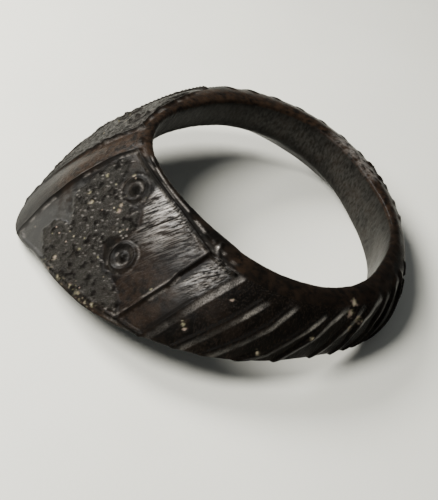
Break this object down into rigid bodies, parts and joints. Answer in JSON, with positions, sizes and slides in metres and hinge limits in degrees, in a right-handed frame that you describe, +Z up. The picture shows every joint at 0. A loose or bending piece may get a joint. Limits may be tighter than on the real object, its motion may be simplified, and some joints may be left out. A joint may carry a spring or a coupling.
{
  "type": "archer's thumb ring",
  "caption": "Cast bronze archer's thumb ring: a hoop round the finger hole that drops and flares into a keeled, pointed tongue with carved panels and slanting grooves.",
  "frame": {"origin": "centre of the base of the bounding box, on the table that the ring stands on", "axes": "+Z up, +X from the tongue's tip to the back of the hoop, +Y across the ring"},
  "size_m": [0.0332, 0.034, 0.0108],
  "materials": {
    "bronze": "cast bronze with a near-black brown patina, worn smooth on its edges and pitted on the tongue"
  },
  "bodies": {
    "root": {"thumb_ring": "bronze"}
  },
  "joints": []
}
